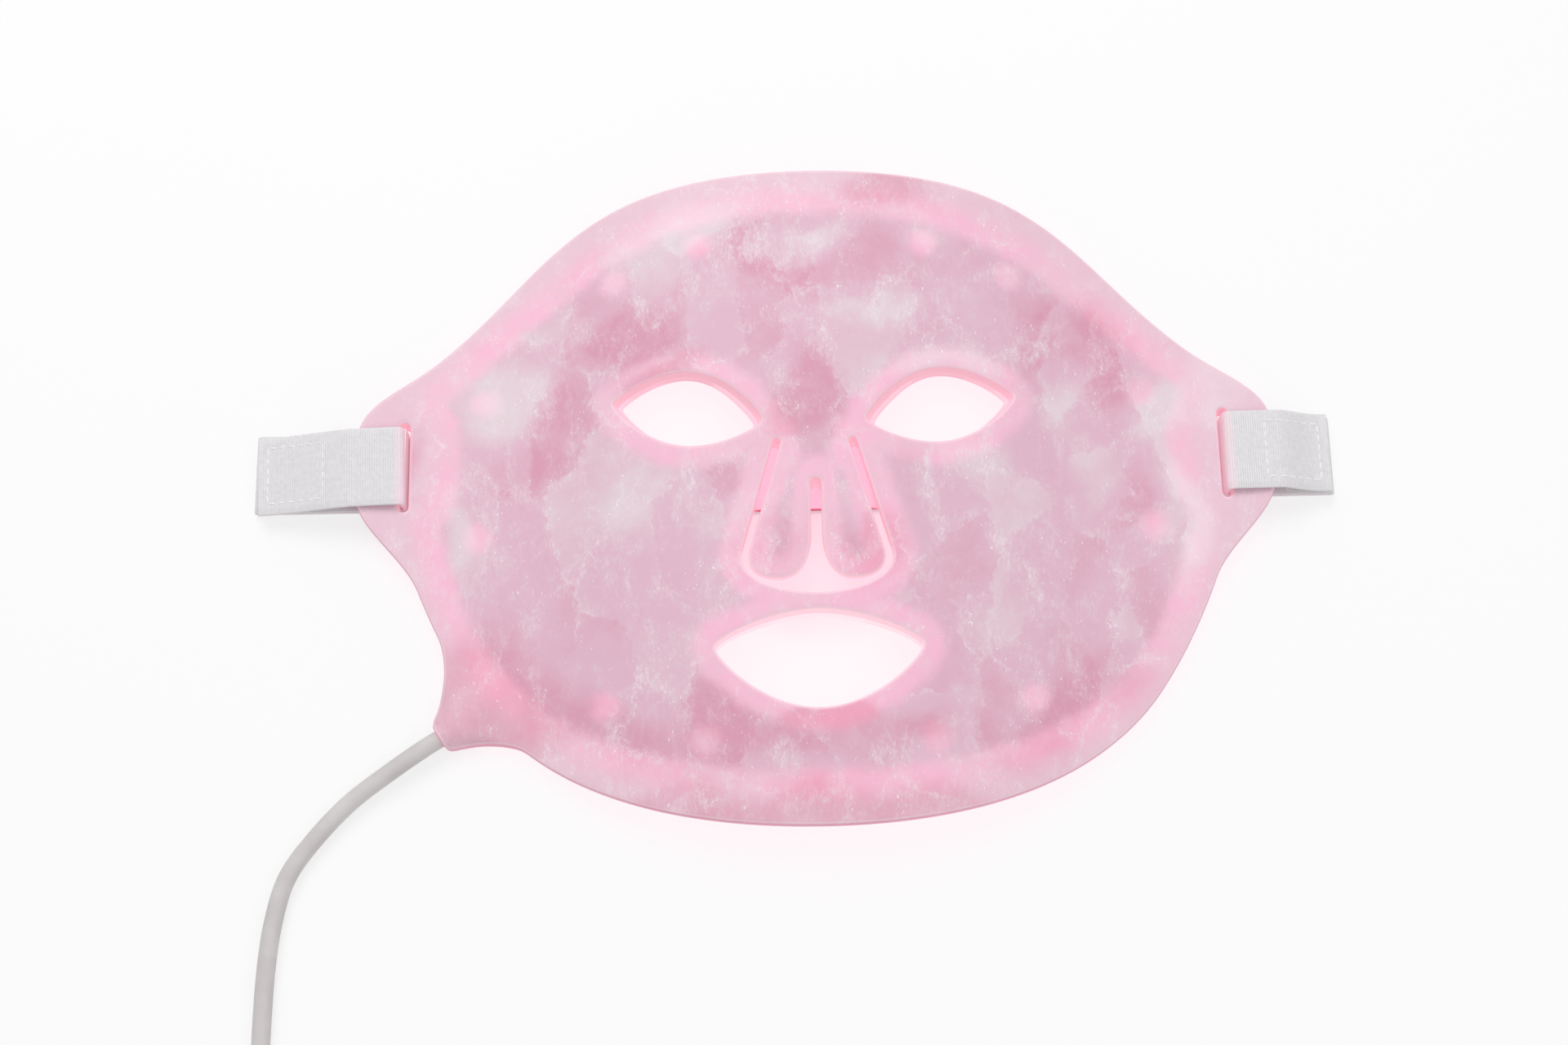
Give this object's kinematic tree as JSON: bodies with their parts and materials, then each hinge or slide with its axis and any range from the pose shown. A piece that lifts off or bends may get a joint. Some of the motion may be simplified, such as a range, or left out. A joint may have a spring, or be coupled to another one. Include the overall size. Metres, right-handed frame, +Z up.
{
  "type": "led face mask",
  "caption": "Flexible marbled silicone light-therapy face mask with eye, nose and mouth openings, a webbing head strap and a low-voltage lead with a plug.",
  "frame": {"origin": "on the floor under the middle of the mask, on its nose line", "axes": "+X to the right as the picture shows it, +Y towards the forehead, +Z up out of the front face"},
  "size_m": [0.3388, 0.364, 0.0186],
  "materials": {
    "front_silicone": "satin",
    "rear_silicone": "satin",
    "flex_board": "matte",
    "red_lamp": "gloss",
    "infrared_lamp": "gloss",
    "resistor": "matte",
    "lead_jacket": "satin",
    "lead_collar": "satin",
    "core_wire": "satin",
    "solder": "satin",
    "tie": "matte",
    "plug_moulding": "matte",
    "plug_shell": "satin",
    "plug_tongue": "matte",
    "plug_contact": "polished",
    "webbing": "matte",
    "loop_tape": "matte",
    "hook_tape": "matte"
  },
  "bodies": {
    "centre": {"front_skin": "front_silicone", "rear_skin": "rear_silicone", "flex_board": "flex_board", "red_lamps": "red_lamp", "infrared_lamps": "infrared_lamp", "resistors": "resistor", "cord_lead": "lead_jacket", "cord_coil": "lead_jacket", "coil_tie": "tie", "plug_body": "plug_moulding", "plug_shell": "plug_shell", "plug_tongue": "plug_tongue", "plug_contacts": "plug_contact", "strap_band": "webbing"},
    "left_wing": {"left_front_skin": "front_silicone", "left_rear_skin": "rear_silicone", "left_flex_board": "flex_board", "left_red_lamps": "red_lamp", "left_infrared_lamps": "infrared_lamp", "left_resistors": "resistor", "cord_entry": "lead_jacket", "cord_collar": "lead_collar", "core_wires": "core_wire", "solder_joints": "solder", "left_strap_loop": "webbing", "left_loop_tape": "loop_tape"},
    "right_wing": {"right_front_skin": "front_silicone", "right_rear_skin": "rear_silicone", "right_flex_board": "flex_board", "right_red_lamps": "red_lamp", "right_infrared_lamps": "infrared_lamp", "right_resistors": "resistor", "right_strap_loop": "webbing", "right_loop_tape": "loop_tape"},
    "nose_flap": {"nose_front_skin": "front_silicone", "nose_rear_skin": "rear_silicone", "nose_flex_board": "flex_board", "nose_lamps": "red_lamp"},
    "left_strap_end": {"left_strap_flap": "webbing", "left_hook_tape": "hook_tape"},
    "right_strap_end": {"right_strap_flap": "webbing", "right_hook_tape": "hook_tape"}
  },
  "joints": [
    {"name": "left_wing_bend", "type": "hinge", "parent": "centre", "child": "left_wing", "pos_m": [-0.068, 0, 0.00544], "axis": [0, -1, 0], "range_deg": [0, 35], "stiffness_Nm_per_rad": 0.1, "deforming": ["strap_band", "cord_lead"]},
    {"name": "right_wing_bend", "type": "hinge", "parent": "centre", "child": "right_wing", "pos_m": [0.068, 0, 0.00544], "axis": [0, 1, 0], "range_deg": [0, 35], "stiffness_Nm_per_rad": 0.1, "deforming": ["strap_band"]},
    {"name": "nose_flap_lift", "type": "hinge", "parent": "centre", "child": "nose_flap", "pos_m": [0, 0.0133, 0.01865], "axis": [-1, 0, 0], "range_deg": [0, 35], "stiffness_Nm_per_rad": 0.02},
    {"name": "left_strap_peel", "type": "hinge", "parent": "left_wing", "child": "left_strap_end", "pos_m": [-0.12765, 0.0105, 0.0092], "axis": [-0.0349, 0.9994, 0], "range_deg": [0, 120]},
    {"name": "right_strap_peel", "type": "hinge", "parent": "right_wing", "child": "right_strap_end", "pos_m": [0.12765, 0.0105, 0.0092], "axis": [0, -1, 0], "range_deg": [0, 120]}
  ]
}
